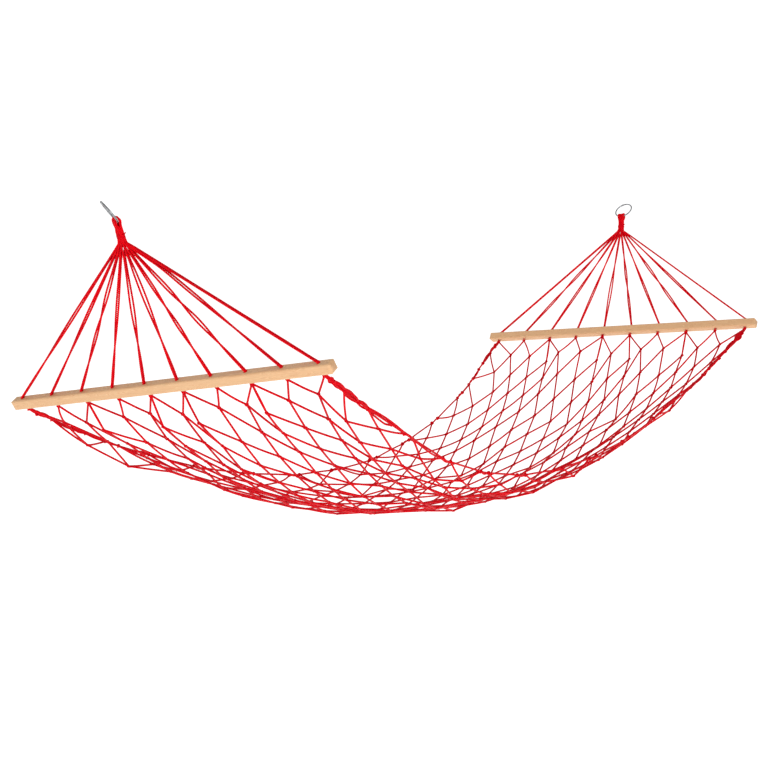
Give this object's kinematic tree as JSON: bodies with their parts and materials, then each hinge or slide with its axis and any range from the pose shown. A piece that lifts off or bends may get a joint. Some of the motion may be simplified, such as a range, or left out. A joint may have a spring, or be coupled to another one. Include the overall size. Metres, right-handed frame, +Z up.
{
  "type": "knotted net hammock with spreader bars",
  "caption": "Knotted rope net hammock held open by two drilled wooden spreader bars, each hung by a fan of doubled cords from a steel ring, shown hanging empty.",
  "frame": {"origin": "the hook's seat in the head ring: the inside of the wire at the ring's outboard end", "axes": "+X along the hammock to the foot ring's seat, +Y across it to the left, +Z up as it hangs"},
  "size_m": [2.0076, 0.816, 0.7037],
  "materials": {
    "ring_steel": "bright zinc-plated wire, butt-welded",
    "red_cord": "red twisted synthetic cord, slightly glossy",
    "net_twine": "red twisted net twine, knotted at every crossing",
    "pine": "planed pale softwood, clear satin finish"
  },
  "bodies": {
    "head_end": {"head_ring": "ring_steel", "head_eye": "red_cord"},
    "bed": {"head_clew_crown": "red_cord", "head_neck_binding": "red_cord", "head_spreader_bar": "pine", "head_stopper_knots": "red_cord", "foot_clew_crown": "red_cord", "foot_neck_binding": "red_cord", "foot_spreader_bar": "pine", "foot_stopper_knots": "red_cord", "head_clew_cord_1": "red_cord", "head_clew_cord_2": "red_cord", "head_clew_cord_3": "red_cord", "head_clew_cord_4": "red_cord", "head_clew_cord_5": "red_cord", "head_clew_cord_6": "red_cord", "head_clew_cord_7": "red_cord", "head_clew_cord_8": "red_cord", "head_clew_cord_9": "red_cord", "head_clew_cord_10": "red_cord", "foot_clew_cord_1": "red_cord", "foot_clew_cord_2": "red_cord", "foot_clew_cord_3": "red_cord", "foot_clew_cord_4": "red_cord", "foot_clew_cord_5": "red_cord", "foot_clew_cord_6": "red_cord", "foot_clew_cord_7": "red_cord", "foot_clew_cord_8": "red_cord", "foot_clew_cord_9": "red_cord", "foot_clew_cord_10": "red_cord", "net": "net_twine", "left_edge_cord": "net_twine", "right_edge_cord": "net_twine"},
    "foot_end": {"foot_ring": "ring_steel", "foot_eye": "red_cord"}
  },
  "joints": [
    {"name": "bed_swing", "type": "hinge", "parent": "head_end", "child": "bed", "pos_m": [0.03509, 0, -0.04947], "axis": [1, 0, 0], "range_deg": [-35, 35]},
    {"name": "foot_ring_stay", "type": "hinge", "parent": "bed", "child": "foot_end", "pos_m": [1.9641, 0, -0.04947], "axis": [1, 0, 0], "range_deg": [-35, 35]}
  ],
  "couplings": [
    {"joint": "foot_ring_stay", "follows": "bed_swing", "ratio": -1}
  ]
}
